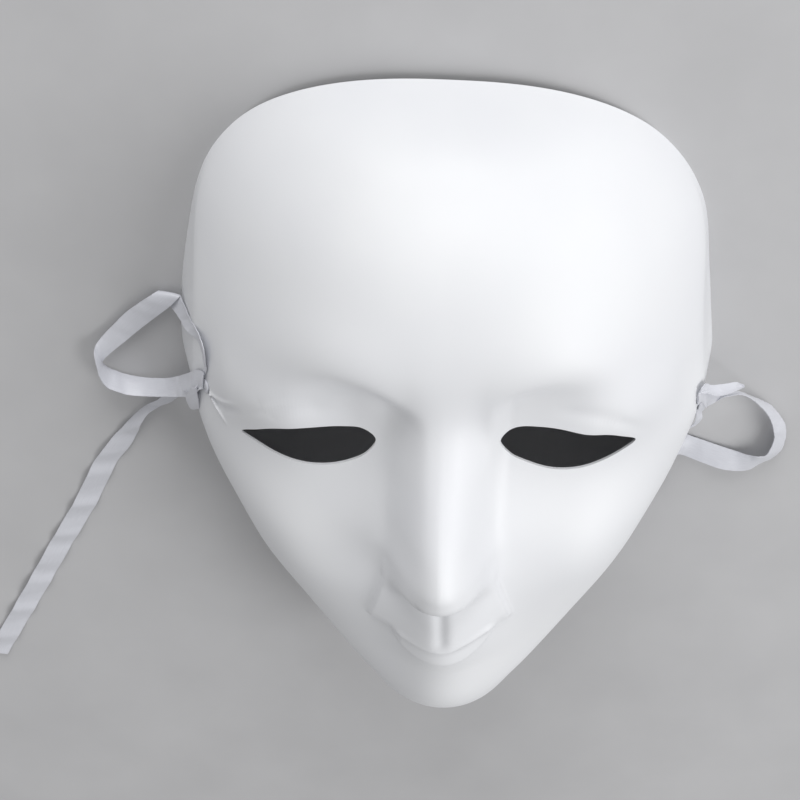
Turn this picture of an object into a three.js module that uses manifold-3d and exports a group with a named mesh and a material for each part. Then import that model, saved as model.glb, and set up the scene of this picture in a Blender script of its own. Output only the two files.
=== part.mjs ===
// Mime mask: a thin white moulded plastic face shell with two satin ribbon ties, lying face up.
// Millimetres. +X is the right-hand side of the face as seen from the front, +Y points to the forehead
// and +Z points out of the face. The rim's side edges rest on the plane z = 0. The sizes below are laid
// out from a middle line near x = 0 with the eyes near y = 0, and each finished piece moves to the origin.

import * as THREE from 'three';
import { mergeVertices } from 'three/addons/utils/BufferGeometryUtils.js';
import Module from 'manifold-3d';

const wasm = await Module();
wasm.setup();

// Shell: overall sizes
const FACE_HALF_WIDTH = 83.5;
const TOP_Y = 89.0;
const WIDEST_Y = 2.0;
const CHIN_Y = -142.0;
const HUB_Y = -58.0;
const WALL_THICKNESS = 1.0;
const TOP_RIM_HEIGHT = 3.0;
const CHIN_RIM_HEIGHT = 26.0;
const SIDE_WALL_HEIGHT = 22.0;
const LEFT_FLARE = 7.0;
const RIGHT_FLARE = 5.5;

// Middle of the shell seen from above, which becomes the origin
const CENTRE_X = 2.5;
const CENTRE_Y = -27.0;

// Shell: fineness of the mesh, rings over the face, rings down the side wall, and how much closer
// together the rings lie around the hub
const FACE_RINGS = 17;
const WALL_RINGS = 3;
const CROWDING = 0.1;

// Eye openings: points around each outline
const EYE_POINTS = 40;

// Tie holes, near the crease on each side
const TIE_HOLE_RADIUS = 2.6;
const LEFT_HOLE = { x: -78.2, y: -10.8 };
const RIGHT_HOLE = { x: 87.4, y: -15.9 };

// Ribbons: sections between two stations, and the knots that hold each one in its hole
const RIBBON_THICKNESS = 0.5;
const RIBBON_STEPS = 2;
const KNOT_GAP = 0.6;
const KNOT_SIDES = 12;
const OUTER_KNOT = { across: 3.6, along: 3.9, high: 1.8 };
const INNER_KNOT = { across: 3.4, along: 3.4, high: 1.8 };
const NECK_RADIUS = 2.0;

const clamp = (low, high, value) => Math.min(Math.max(value, low), high);

function ramp(low, high, value) {
  const t = clamp(0, 1, (value - low) / (high - low));
  return t * t * (3 - 2 * t);
}

const bell = (value, centre, width) => Math.exp(-(((value - centre) / width) ** 2));

// Natural cubic curve through stations of place and value
function smoothCurve(stations) {
  const n = stations.length;
  const x = stations.map((s) => s[0]);
  const y = stations.map((s) => s[1]);
  const bend = new Array(n).fill(0);
  const carry = new Array(n).fill(0);
  for (let i = 1; i < n - 1; i += 1) {
    const before = x[i] - x[i - 1];
    const after = x[i + 1] - x[i];
    const share = before / (before + after);
    const pivot = share * bend[i - 1] + 2;
    const turn = (y[i + 1] - y[i]) / after - (y[i] - y[i - 1]) / before;
    bend[i] = (share - 1) / pivot;
    carry[i] = ((6 * turn) / (before + after) - share * carry[i - 1]) / pivot;
  }
  bend[n - 1] = 0;
  for (let i = n - 2; i >= 0; i -= 1) bend[i] = bend[i] * bend[i + 1] + carry[i];
  return (value) => {
    const v = clamp(x[0], x[n - 1], value);
    let i = 0;
    while (i < n - 2 && v > x[i + 1]) i += 1;
    const span = x[i + 1] - x[i];
    const a = (x[i + 1] - v) / span;
    const b = (v - x[i]) / span;
    const cubic = (a ** 3 - a) * bend[i] + (b ** 3 - b) * bend[i + 1];
    return a * y[i] + b * y[i + 1] + (cubic * span * span) / 6;
  };
}

// Height of the middle line above the rim plane, from the chin's underside to the top edge
const profile = smoothCurve([
  [-142, 38], [-139, 49], [-132, 60.5], [-120, 68.5], [-106, 70.5], [-86, 72.5], [-60, 73.5],
  [-30, 67], [0, 66], [20, 70.5], [40, 67.5], [58, 58.5], [73, 43.5], [83, 26], [89, 6],
]);

// How far the nose stands out of the face along the middle line
const noseRidge = smoothCurve([
  [-70, 0], [-62, 0.5], [-56, 6], [-52, 17.5], [-47, 24.5], [-40, 25.5],
  [-24, 19], [-8, 11], [4, 5.7], [14, 2.5], [24, 0.5], [36, 0],
]);

// Lower edge of the brow, as distance from the middle line and place along the face
const browEdge = smoothCurve([
  [0, 5.5], [5, 7], [13, 11], [22, 16.2], [29, 18.2], [36, 18.6], [48, 15.5], [60, 9], [75, -3], [90, -14],
]);

// How much wider than the plain outline each side was trimmed, most of all at the tie holes
const leftTrim = smoothCurve([
  [-142, -1.6], [-112, -1.5], [-72, -0.8], [-54, 0.8], [-38, 1.8], [-24, 2.2],
  [-8, 1.6], [14, 0.6], [33, 1.1], [54, 2.5], [72, 1.2], [89, 0],
]);
const rightTrim = smoothCurve([
  [-142, -1.6], [-112, -2.1], [-87, -1.5], [-67, -0.2], [-54, 1.5], [-38, 2.5], [-28, 3.6], [-19, 4.5],
  [-7, 3.3], [8, 1.5], [20, 0.9], [45, 1.8], [64, 0.3], [72, -0.3], [89, 0],
]);

// The middle of the outline, and the middle line of the features, which wander a little apart
const middle = (y) => 1.8 + 2.0 * ramp(-20, -135, y);
const faceLine = (y) => -0.3 + 2.6 * ramp(-20, -115, y);

function plainHalfWidth(y) {
  if (y > WIDEST_Y) {
    const up = clamp(0, 1, (y - WIDEST_Y) / (TOP_Y - WIDEST_Y));
    return FACE_HALF_WIDTH * (1 - up ** 3.5) ** (1 / 2.6);
  }
  const down = clamp(0, 1, (WIDEST_Y - y) / (WIDEST_Y - CHIN_Y));
  return FACE_HALF_WIDTH * (1 - down ** 2.5) ** (0.87 - 0.3 * ramp(0.82, 1, down));
}

// Width from the middle line to the crease, on the side where x lies
const halfWidth = (x, y) => plainHalfWidth(y) + (x < middle(y) ? leftTrim(y) : rightTrim(y));

const rimHeight = (y) => TOP_RIM_HEIGHT * ramp(70, TOP_Y, y) + CHIN_RIM_HEIGHT * ramp(-70, CHIN_Y, y);

// Height of the crease where the face turns into the side wall
function creaseHeight(y) {
  const wall = (SIDE_WALL_HEIGHT - 3) * ramp(62, 5, y) * (1 - 0.5 * ramp(-20, -70, y));
  return rimHeight(y) + 3 + wall;
}

function flare(x, y) {
  const side = x < 0 ? LEFT_FLARE : RIGHT_FLARE;
  const start = x < 0 ? -10 : -28;
  return 1 + (side - 1) * ramp(55, 5, y) * (1 - 0.75 * ramp(start, start - 45, y));
}

const shareAcross = (x, y) => clamp(0, 1, Math.abs(x - middle(y)) / Math.max(halfWidth(x, y), 1e-6));

// Smooth domed face without its features
function dome(x, y) {
  const across = shareAcross(x, y);
  const edge = creaseHeight(y);
  const squareness = 2.4 - 0.3 * ramp(-10, -60, y);
  const fullness = 0.9 - 0.33 * ramp(10, -50, y);
  return edge + (profile(y) - edge) * (1 - across ** squareness) ** fullness;
}

// Zero on one side and a straight slope on the other, with a rounded turn in between
const softKink = (distance, radius) => radius * Math.log(1 + Math.exp(distance / radius));

// Eye sockets under the brow, with the bone above them and the upper eyelids below
function browAndLids(x, a, y) {
  const brow = browEdge(a);
  const below = clamp(0, 1, softKink(brow - y, 2) / 8);
  const start = 4 + 6 * ramp(0, 8, x);
  const across = (4.2 - 0.6 * ramp(6, 16, x)) * ramp(start, start + 14, a) * ramp(50, 26, a);
  const depth = across * ramp(brow - 60, brow - 15, y);
  const step = depth * (1 - (1 - below) ** 2);
  const socket = 2.5 * bell(a, 42, 15) * bell(y, 9.5, 16);
  const bone = 4.5 * bell(a, 50, 27) * bell(y, brow + 2, 18);
  const lid = 5.8 * bell(a, 56, 25) * bell(y, -3, 13);
  return bone + lid - step - socket;
}

function nose(a, y) {
  const ridge = 4.8 - 2.2 * ramp(-30, -52, y);
  const foot = 12 + 4.3 * ramp(8, -16, y);
  const wall = (softKink(foot - a, 3) - softKink(ridge - a, 2)) / (foot - ridge);
  const base = y + 6.5 * (Math.min(a, 15.5) / 15) ** 2.5 * ramp(-28, -46, y);
  return noseRidge(base) * wall + 4.5 * bell(a, 0, 27) * bell(y, -34, 22);
}

// Upper lip plate, lower lip, the fullness around the mouth, and the chin
function mouth(a, y) {
  const below = ramp(-46, -58, y);
  const lip = -79.5 + 4 * Math.min(a / 25, 1.3) ** 1.4;
  const side = 18.5 + 5.6 * clamp(0, 1, (-56 - y) / 20);
  const plate = 1.4 * ramp(lip - 2, lip + 3, y) * ramp(side + 4, side - 3, a) * below;
  const lower = -87 + 7 * (a / 15) ** 2;
  const lowerLip = 2 * ramp(lower - 2, lower + 3, y) * ramp(19, 12, a) * below;
  const mound = 3.5 * bell(a, 0, 15) * ramp(-98, -84, y) * below;
  const muzzle = 7.5 * bell(a, 0, 16.5) * bell(y, -83.5, 26);
  const chin = 3.6 * bell(a, 0, 15) * bell(y, -110, 16);
  return plate + lowerLip + mound + muzzle + chin;
}

const cheeks = (a, y) => 6 * bell(a, 55, 20) * bell(y, -62, 27);

function features(x, y) {
  const a = Math.abs(x - faceLine(y));
  return browAndLids(x, a, y) + nose(a, y) + mouth(a, y) + cheeks(a, y);
}

// The features fade out before the crease, so that the side wall stays even
const faceHeight = (x, y) => dome(x, y) + features(x, y) * ramp(1.0, 0.84, shareAcross(x, y));

// Distance from the hub to the face's edge in a direction seen from the front
function edgeRadius(angle) {
  let near = 0;
  let far = 260;
  for (let i = 0; i < 40; i += 1) {
    const r = (near + far) / 2;
    const x = r * Math.cos(angle);
    const y = HUB_Y + r * Math.sin(angle);
    const inside = y < TOP_Y && y > CHIN_Y && Math.abs(x - middle(y)) < halfWidth(x, y);
    if (inside) near = r;
    else far = r;
  }
  return near;
}

// A point of the outer surface: ring 0 is the hub, the last face ring is the crease, the last ring the rim
function shellPoint(ring, angle) {
  const share = Math.min(ring / FACE_RINGS, 1);
  const spread = share * (1 - CROWDING * (1 - share * share)) * edgeRadius(angle);
  const x = spread * Math.cos(angle);
  const y = HUB_Y + spread * Math.sin(angle);
  const down = clamp(0, 1, (ring - FACE_RINGS) / WALL_RINGS);
  const out = flare(x, y) * down;
  const px = x + out * Math.cos(angle);
  const py = y + out * Math.sin(angle);
  const z = faceHeight(x, y) + (rimHeight(y) - creaseHeight(y)) * down;
  return new THREE.Vector3(px, py - 0.03 * px * ramp(40, TOP_Y, py), z);
}

// Angle and ring of a node of a square grid whose nested squares become the rings
function squareToRing(i, j) {
  const ring = Math.max(Math.abs(i), Math.abs(j));
  if (ring === 0) return [0, 0];
  if (Math.abs(i) >= Math.abs(j)) return [ring, (Math.PI / 4) * (j / i) + (i < 0 ? Math.PI : 0)];
  return [ring, Math.PI / 2 - (Math.PI / 4) * (i / j) + (j < 0 ? Math.PI : 0)];
}

function geometryFrom(points, faces) {
  const geometry = new THREE.BufferGeometry();
  const numbers = points.flatMap((p) => [p.x, p.y, p.z]);
  geometry.setAttribute('position', new THREE.Float32BufferAttribute(numbers, 3));
  geometry.setIndex(faces);
  return geometry;
}

function makeShell() {
  const rings = FACE_RINGS + WALL_RINGS;
  const side = 2 * rings + 1;
  const outer = [];
  const faces = [];
  const border = [];
  for (let j = -rings; j <= rings; j += 1) {
    for (let i = -rings; i <= rings; i += 1) outer.push(shellPoint(...squareToRing(i, j)));
  }
  const at = (i, j) => (j + rings) * side + i + rings;
  for (let j = -rings; j < rings; j += 1) {
    for (let i = -rings; i < rings; i += 1) {
      const [a, b, c, d] = [at(i, j), at(i + 1, j), at(i + 1, j + 1), at(i, j + 1)];
      if (i * j >= 0) faces.push(a, b, c, a, c, d);
      else faces.push(a, b, d, b, c, d);
    }
  }
  for (let k = -rings; k < rings; k += 1) border.push(at(k, -rings));
  for (let k = -rings; k < rings; k += 1) border.push(at(rings, k));
  for (let k = rings; k > -rings; k -= 1) border.push(at(k, rings));
  for (let k = rings; k > -rings; k -= 1) border.push(at(-rings, k));

  const skin = geometryFrom(outer, faces);
  skin.computeVertexNormals();
  const normals = skin.getAttribute('normal');
  const onBorder = new Set(border);
  const inner = outer.map((p, k) => {
    const normal = new THREE.Vector3().fromBufferAttribute(normals, k);
    if (onBorder.has(k)) normal.setZ(0).normalize();
    return p.clone().addScaledVector(normal, -WALL_THICKNESS);
  });

  const count = outer.length;
  const closed = [...faces];
  for (let k = 0; k < faces.length; k += 3) {
    closed.push(faces[k] + count, faces[k + 2] + count, faces[k + 1] + count);
  }
  border.forEach((from, k) => {
    const to = border[(k + 1) % border.length];
    closed.push(to, from, from + count, to, from + count, to + count);
  });
  return geometryFrom([...outer, ...inner], closed);
}

function toSolid(geometry) {
  const bare = new THREE.BufferGeometry();
  bare.setAttribute('position', geometry.getAttribute('position'));
  bare.setIndex(geometry.getIndex());
  const merged = mergeVertices(bare, 1e-4);
  return new wasm.Manifold(new wasm.Mesh({
    numProp: 3,
    vertProperties: Float32Array.from(merged.getAttribute('position').array),
    triVerts: Uint32Array.from(merged.getIndex().array),
  }));
}

function toGeometry(solid) {
  const mesh = solid.getMesh();
  const geometry = new THREE.BufferGeometry();
  geometry.setAttribute('position', new THREE.BufferAttribute(mesh.vertProperties, 3));
  geometry.setIndex(new THREE.BufferAttribute(mesh.triVerts, 1));
  geometry.computeVertexNormals();
  return geometry;
}

// Half-moon eye opening, nearly straight above and rounded below, cut straight through the face
function makeEyeCutter(edge) {
  const outline = new THREE.CatmullRomCurve3(
    edge.map(([x, y]) => new THREE.Vector3(x, y, 0)),
    true,
    'centripetal',
  );
  const points = outline.getPoints(EYE_POINTS).slice(0, -1);
  const shape = new THREE.Shape(points.map((p) => new THREE.Vector2(p.x, p.y)));
  return new THREE.ExtrudeGeometry(shape, { depth: 120, bevelEnabled: false });
}

function faceNormal(x, y) {
  const step = 0.5;
  const slopeX = (faceHeight(x + step, y) - faceHeight(x - step, y)) / (2 * step);
  const slopeY = (faceHeight(x, y + step) - faceHeight(x, y - step)) / (2 * step);
  return new THREE.Vector3(-slopeX, -slopeY, 1).normalize();
}

// Centre and outward direction of a tie hole
function tieHole({ x, y }) {
  return { point: new THREE.Vector3(x, y, faceHeight(x, y)), normal: faceNormal(x, y) };
}

function turnTo(direction) {
  return new THREE.Quaternion().setFromUnitVectors(new THREE.Vector3(0, 1, 0), direction);
}

function rodAlong(hole, from, to, radius, sides) {
  const rod = new THREE.CylinderGeometry(radius, radius, to - from, sides);
  rod.applyQuaternion(turnTo(hole.normal));
  rod.translate(...hole.point.clone().addScaledVector(hole.normal, (from + to) / 2).toArray());
  return rod;
}

// Flattened lump of a knot, standing off the wall by its distance along the hole's direction
function knotLump(hole, size, distance) {
  const lump = new THREE.SphereGeometry(1, KNOT_SIDES, KNOT_SIDES / 2);
  lump.scale(size.across, size.high, size.along);
  lump.applyQuaternion(turnTo(hole.normal));
  lump.translate(...hole.point.clone().addScaledVector(hole.normal, distance).toArray());
  return lump;
}

// Flat band between two edges, each a smooth curve through its own side of the stations
function ribbonBand(stations) {
  const edges = [0, 1].map((k) => new THREE.CatmullRomCurve3(
    stations.map((pair) => new THREE.Vector3(...pair[k])),
    false,
    'centripetal',
  ));
  const steps = (stations.length - 1) * RIBBON_STEPS;
  const points = [];
  const faces = [];
  for (let k = 0; k <= steps; k += 1) {
    const [a, b] = edges.map((edge) => edge.getPoint(k / steps));
    const along = edges[0].getTangent(k / steps).add(edges[1].getTangent(k / steps));
    const half = along.cross(b.clone().sub(a)).normalize().multiplyScalar(RIBBON_THICKNESS / 2);
    points.push(a.clone().add(half), b.clone().add(half), b.clone().sub(half), a.clone().sub(half));
    if (k === 0) continue;
    const last = 4 * k;
    for (let corner = 0; corner < 4; corner += 1) {
      const next = (corner + 1) % 4;
      const before = last - 4;
      faces.push(before + corner, last + next, before + next, before + corner, last + corner, last + next);
    }
  }
  const end = 4 * steps;
  faces.push(0, 1, 2, 0, 2, 3, end, end + 2, end + 1, end, end + 3, end + 2);
  return geometryFrom(points, faces);
}

// One ribbon: its bands, the knot outside the wall, the neck in the hole and the knot inside
function makeRibbon(hole, bands) {
  const outer = OUTER_KNOT.high + KNOT_GAP;
  const inner = -(WALL_THICKNESS + KNOT_GAP + INNER_KNOT.high);
  const pieces = [
    knotLump(hole, OUTER_KNOT, outer),
    knotLump(hole, INNER_KNOT, inner),
    rodAlong(hole, inner, outer, NECK_RADIUS, KNOT_SIDES),
    ...bands.map(ribbonBand),
  ];
  return pieces.map(toSolid).reduce((whole, piece) => whole.add(piece));
}

// Each station holds the two edges of the ribbon, in order away from the knot
const leftLoop = [
  [[-78.7, -6.6, 31.3], [-77.8, -4.1, 33.2]],
  [[-78.8, -2.6, 30.6], [-77.6, 1.3, 34.6]],
  [[-79.1, 1, 29.4], [-77.8, 6.1, 35]],
  [[-80.2, 3.7, 27.4], [-78.7, 8.6, 33]],
  [[-82.6, 3.4, 23.2], [-80.2, 8.4, 28.3]],
  [[-85, 2.9, 19.7], [-81.7, 8.2, 24.2]],
  [[-86.9, 1.3, 14.2], [-83.9, 7, 18.3]],
  [[-89.7, 0.2, 6.7], [-86.2, 5.8, 10.3]],
  [[-92.2, 0.5, 2.5], [-87.6, 5.2, 6]],
  [[-96.2, 6.1, 1.2], [-88.6, 5.8, 3.4]],
  [[-96.5, 6.5, 2.2], [-88.7, 6.1, 4.4]],
  [[-98.8, 5.5, 3.2], [-91.7, 2.7, 4.6]],
  [[-102.9, 2.3, 3.2], [-97.5, -2.9, 4]],
  [[-107.6, -2, 2.6], [-103.7, -8.8, 3.6]],
  [[-112.8, -8, 2.4], [-109, -14.1, 3.4]],
  [[-116.8, -12.5, 3], [-113.8, -18.5, 3.6]],
  [[-119, -15.3, 4.6], [-116.6, -21.6, 3.6]],
  [[-119.2, -17.2, 6.6], [-117.4, -23.4, 2.8]],
  [[-118.6, -20.8, 8.2], [-117.3, -25, 1.9]],
  [[-117.5, -26.2, 9], [-115.6, -27.1, 1.4]],
  [[-115.4, -30.3, 8.6], [-113.3, -28.6, 1.1]],
  [[-109.6, -33.4, 8.2], [-108.9, -30.4, 0.9]],
  [[-102.3, -34, 8.4], [-102.5, -31.3, 1.2]],
  [[-94.8, -31.6, 11.5], [-95.4, -28.9, 4.4]],
  [[-88.5, -26.4, 18], [-89, -21.7, 12]],
  [[-85.1, -21.4, 24], [-84.8, -14.4, 19.8]],
  [[-81.8, -13.5, 29.6], [-81, -6.7, 28.4]],
  [[-79.1, -9.8, 31.9], [-78.3, -4.8, 32.4]],
];
const leftTail = [
  [[-82.8, -15.3, 29.2], [-81.8, -16.3, 28.6]],
  [[-87.8, -23.1, 17.9], [-85.8, -25.7, 16.2]],
  [[-92, -31.8, 8], [-89.2, -34.2, 7]],
  [[-98, -38.4, 3.6], [-94.3, -40.5, 2.4]],
  [[-105.4, -44.5, 1.8], [-101.9, -44, 4.4]],
  [[-110.5, -51, 1], [-105.4, -50.4, 3.6]],
  [[-117, -59.1, 1], [-109.5, -60.2, 0.9]],
  [[-123.9, -69.6, 0.9], [-116.1, -70.7, 0.7]],
  [[-132.9, -89, 1], [-124.9, -90.2, 0.7]],
  [[-144.2, -110.6, 0.9], [-136.4, -111.9, 0.7]],
  [[-157, -135.7, 1], [-149.2, -137.1, 0.7]],
  [[-170, -160.7, 0.9], [-162.4, -162.2, 0.7]],
  [[-174.4, -168.4, 0.8], [-166.3, -169.7, 0.8]],
];
const leftStub = [
  [[-83.1, -12.7, 30.6], [-81, -10.6, 31.4]],
  [[-85.8, -19.8, 26.5], [-81.5, -15.4, 29.8]],
  [[-85.7, -24, 24.5], [-81.4, -19.8, 28.6]],
  [[-85, -27.8, 22.5], [-81.5, -24.5, 26.4]],
];
const rightLoop = [
  [[87.9, -16.9, 28], [87.7, -11.9, 28.5]],
  [[90.3, -21.1, 25.5], [90.1, -13.1, 26]],
  [[92.7, -21.6, 23], [93.6, -16.2, 21.4]],
  [[95.8, -20.5, 21.5], [97.5, -20.8, 15.8]],
  [[99.1, -20.7, 19.5], [100.7, -23.7, 12.6]],
  [[102, -22, 17.2], [103.6, -25.8, 10.2]],
  [[104.5, -23.6, 15], [106.1, -27.8, 8.5]],
  [[108.1, -26.8, 13], [109.6, -31, 6.4]],
  [[111.3, -30.7, 11.4], [113.5, -33.8, 4.8]],
  [[114.5, -35, 10], [117.1, -37.1, 3.1]],
  [[117.1, -40, 8.6], [120.9, -41.9, 1.8]],
  [[119, -45.6, 7.2], [124.1, -47.7, 1.5]],
  [[119.9, -50.2, 6], [124.9, -54.1, 1.6]],
  [[119.2, -54.9, 5.9], [123.8, -59.5, 1.3]],
  [[117.6, -58.1, 6], [121.4, -63, 1]],
  [[115.1, -58.4, 6.2], [117.5, -64.7, 1.9]],
  [[112.3, -59.2, 4.4], [112.6, -67, 3.2]],
  [[106.7, -58.8, 2], [103.9, -65.8, 4.6]],
  [[99, -56.4, 1.2], [95.2, -63.2, 3.6]],
  [[92.4, -53.9, 1], [88.6, -60.6, 3]],
  [[88.2, -52.6, 0.8], [86.2, -58.8, 5.4]],
  [[85.4, -54.8, 0.7], [85.2, -60.4, 6.4]],
  [[81.6, -62, 0.7], [82.8, -65.4, 7.6]],
  [[77.6, -70.2, 0.7], [80.8, -70.8, 7.6]],
  [[73.6, -77.4, 0.7], [80, -76, 5]],
  [[69.4, -88, 0.8], [76.4, -84.2, 0.8]],
  [[61.8, -98.8, 0.8], [67.8, -93.5, 0.8]],
  [[52, -108.8, 0.8], [57.5, -103, 0.8]],
  [[41.2, -119.4, 0.8], [46.9, -113.8, 0.8]],
  [[31.6, -131.8, 0.7], [38.2, -127.3, 0.9]],
  [[24.4, -146.2, 0.8], [31.6, -142.7, 0.8]],
  [[15.2, -158.6, 0.8], [20.9, -153, 0.8]],
  [[10.4, -163.2, 0.8], [15.7, -157.2, 0.8]],
];
const rightEnd = [
  [[87.2, -10.6, 29], [87.8, -12.4, 29.5]],
  [[89.1, -10.6, 26], [89.9, -13.3, 28]],
  [[92.5, -13.5, 23], [93, -15.7, 26.2]],
  [[97, -14.7, 20.5], [97.2, -16.8, 23.8]],
  [[100.3, -15.2, 19], [100.5, -17, 21.5]],
  [[102.6, -16.6, 18], [102.8, -17.7, 19]],
  [[103.9, -17.5, 17.6], [104, -17.9, 17.8]],
];

const leftHole = tieHole(LEFT_HOLE);
const rightHole = tieHole(RIGHT_HOLE);

// The two eyes aren't quite mirror images
const leftEye = [
  [-65.4, -17.6], [-60.3, -12.8], [-54.3, -8.4], [-47.3, -5.9], [-39.3, -4.7], [-31.3, -4.3], [-25.1, -4.7],
  [-21, -8.6], [-24.3, -14.4], [-32.3, -18.8], [-42.3, -21], [-52.3, -20.7], [-60.3, -19],
];
const rightEye = [
  [63.6, -13.8], [58, -8.8], [53.6, -6.4], [46, -4.8], [38.6, -3], [31, -2.2], [23.6, -2.3],
  [19, -6], [22, -12.4], [28.2, -16.2], [36, -19.1], [43.5, -19.9], [51, -19.1], [58.4, -16.9],
];

const cutters = [
  makeEyeCutter(leftEye),
  makeEyeCutter(rightEye),
  rodAlong(leftHole, -6, 6, TIE_HOLE_RADIUS, 16),
  rodAlong(rightHole, -6, 6, TIE_HOLE_RADIUS, 16),
];
const shell = cutters.reduce((solid, cutter) => solid.subtract(toSolid(cutter)), toSolid(makeShell()));

const plastic = new THREE.MeshStandardMaterial({ color: 0xf1f2f4, roughness: 0.42, metalness: 0 });
const satin = new THREE.MeshStandardMaterial({ color: 0xe9eaee, roughness: 0.5, metalness: 0 });

const mask = new THREE.Group();

function addPiece(name, solid, material) {
  const mesh = new THREE.Mesh(toGeometry(solid.translate([-CENTRE_X, -CENTRE_Y, 0])), material.clone());
  mesh.name = name;
  mask.add(mesh);
}

addPiece('mask_shell', shell, plastic);
addPiece('ribbon_left', makeRibbon(leftHole, [leftLoop, leftTail, leftStub]), satin);
addPiece('ribbon_right', makeRibbon(rightHole, [rightLoop, rightEnd]), satin);

export default mask;
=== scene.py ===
# %% [markdown]
# # A plain mime mask with satin ribbon ties
#
# The real object is a face of thin white plastic, drawn by vacuum over a mould and trimmed, with a
# ribbon tied into a small round hole at each temple. It lies face up on its side rims.
#
# The lesson builds it from the outside in: first the camera and the ribbons, because their routes
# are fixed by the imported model, then the face, then the table top and the light.

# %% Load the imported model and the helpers
from math import cos, pi, radians, sin

import bpy
import numpy as np
from mathutils import Matrix, Vector


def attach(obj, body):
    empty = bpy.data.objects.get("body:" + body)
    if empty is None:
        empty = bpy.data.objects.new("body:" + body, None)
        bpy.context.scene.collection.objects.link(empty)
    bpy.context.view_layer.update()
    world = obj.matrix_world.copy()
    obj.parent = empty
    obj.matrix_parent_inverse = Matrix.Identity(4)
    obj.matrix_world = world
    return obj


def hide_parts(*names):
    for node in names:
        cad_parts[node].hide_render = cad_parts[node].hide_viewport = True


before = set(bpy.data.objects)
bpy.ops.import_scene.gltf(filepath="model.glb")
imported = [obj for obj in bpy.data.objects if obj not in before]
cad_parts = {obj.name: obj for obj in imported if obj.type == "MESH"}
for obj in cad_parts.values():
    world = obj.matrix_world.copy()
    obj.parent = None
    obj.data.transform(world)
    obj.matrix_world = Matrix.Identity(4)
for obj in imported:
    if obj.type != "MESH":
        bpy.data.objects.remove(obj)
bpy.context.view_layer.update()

# %% [markdown]
# ## One way of measuring
#
# The face was laid out in millimetres, from a middle line near x = 0 with the eyes near y = 0, while
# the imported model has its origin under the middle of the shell, in metres. One small function carries
# any point from the first to the second, so every size below can stay in plain millimetres.

# %% From the layout to the model
LAYOUT_CENTRE = np.array([2.5, -27.0, 0.0])


def to_frame(points):
    return (np.asarray(points, float) - LAYOUT_CENTRE) / 1000


print("zero of the layout, in the model's metres:", to_frame([0, 0, 0]))

# %% [markdown]
# ## Two soft shapes
#
# A moulded face has no hard steps, so two plain curves do most of the shaping. A ramp climbs from 0 to 1
# between two places and is level at both. A bell is 1 in the middle and dies away to each side within
# about its own width.

# %% Ramp and bell
def ramp(low, high, value):
    share = np.clip((value - low) / (high - low), 0, 1)
    return share * share * (3 - 2 * share)


def bell(value, centre, width):
    return np.exp(-(((value - centre) / width) ** 2))


print("halfway up a ramp:", ramp(0, 10, 5), "and one width from a bell's middle:", bell(10, 0, 10).round(2))

# %% [markdown]
# ## The camera
#
# The mask is seen from over its forehead, tilted by about 38 degrees from straight above and turned by
# one degree. A long lens, 90 mm on a 36 mm sensor, keeps the sides nearly parallel. The camera could be
# shifted to frame the mask, but here it is simply placed so that a point 70 mm above the table, between
# the eyes, lands on its own pixel of the square picture.

# %% Place the camera
TILT = radians(38)
ROLL = radians(-1)
DISTANCE = 0.63
LENS = 90
SENSOR = 36
PICTURE = 800
FOCUS = LENS / SENSOR * PICTURE
AIM = Vector(to_frame([0, 0, 70]))
AIM_PIXEL = (442, 437)

back = Vector((0, sin(TILT), cos(TILT)))
level_up = (Vector((0, 1, 0)) - back * back.y).normalized()
level_right = level_up.cross(back)
right = level_right * cos(ROLL) - level_up * sin(ROLL)
up = level_up * cos(ROLL) + level_right * sin(ROLL)
across = (AIM_PIXEL[0] - PICTURE / 2) / FOCUS
above = (PICTURE / 2 - AIM_PIXEL[1]) / FOCUS
place = AIM + DISTANCE * (back - across * right - above * up)

camera = bpy.data.objects.new("camera", bpy.data.cameras.new("camera"))
camera.data.lens = LENS
camera.data.sensor_width = SENSOR
camera.data.clip_start = 0.01
camera.matrix_world = Matrix.Translation(place) @ Matrix((right, up, back)).transposed().to_4x4()
bpy.context.collection.objects.link(camera)
bpy.context.scene.camera = camera
print("camera at", [round(value, 3) for value in place])

# %% [markdown]
# ## Making one sheet at a time
#
# The face and the ribbons are all sheets. Each one starts as a flat grid, and a function then says
# where each of its points goes, much as a sculptor pushes a sheet of clay over a form. The grid keeps
# its UV map, so a weave can follow a ribbon however it twists.
#
# An operator acts on whatever is selected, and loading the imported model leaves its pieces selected. So
# every helper that adds or picks a piece deselects all first.

# %% Select a piece, read its points and move them
def deselect_all():
    for other in bpy.context.selected_objects:
        other.select_set(False)


def pick(piece):
    deselect_all()
    piece.select_set(True)
    bpy.context.view_layer.objects.active = piece


def points_of(piece):
    flat = np.empty(len(piece.data.vertices) * 3)
    piece.data.vertices.foreach_get("co", flat)
    return flat.reshape(-1, 3)


def move_points(piece, points):
    piece.data.vertices.foreach_set("co", points.ravel())
    piece.data.update()


print("still selected from loading:", [piece.name for piece in bpy.context.selected_objects])

# %% Shape a grid and apply a modifier
def make_sheet(name, columns, rows, shape):
    deselect_all()
    bpy.ops.mesh.primitive_grid_add(x_subdivisions=columns, y_subdivisions=rows, size=2)
    piece = bpy.context.object
    piece.name = name
    piece.data.name = name
    flat = points_of(piece)
    move_points(piece, to_frame(shape(flat[:, 0], flat[:, 1])))
    return piece


def apply_modifier(piece, kind, **settings):
    pick(piece)
    modifier = piece.modifiers.new(kind.lower(), kind)
    for key, value in settings.items():
        setattr(modifier, key, value)
    bpy.ops.object.modifier_apply(modifier=modifier.name)


def smooth_by_angle(piece, degrees):
    pick(piece)
    bpy.ops.object.shade_smooth_by_angle(angle=radians(degrees))


print("pieces of the packed model:", sorted(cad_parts))

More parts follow.
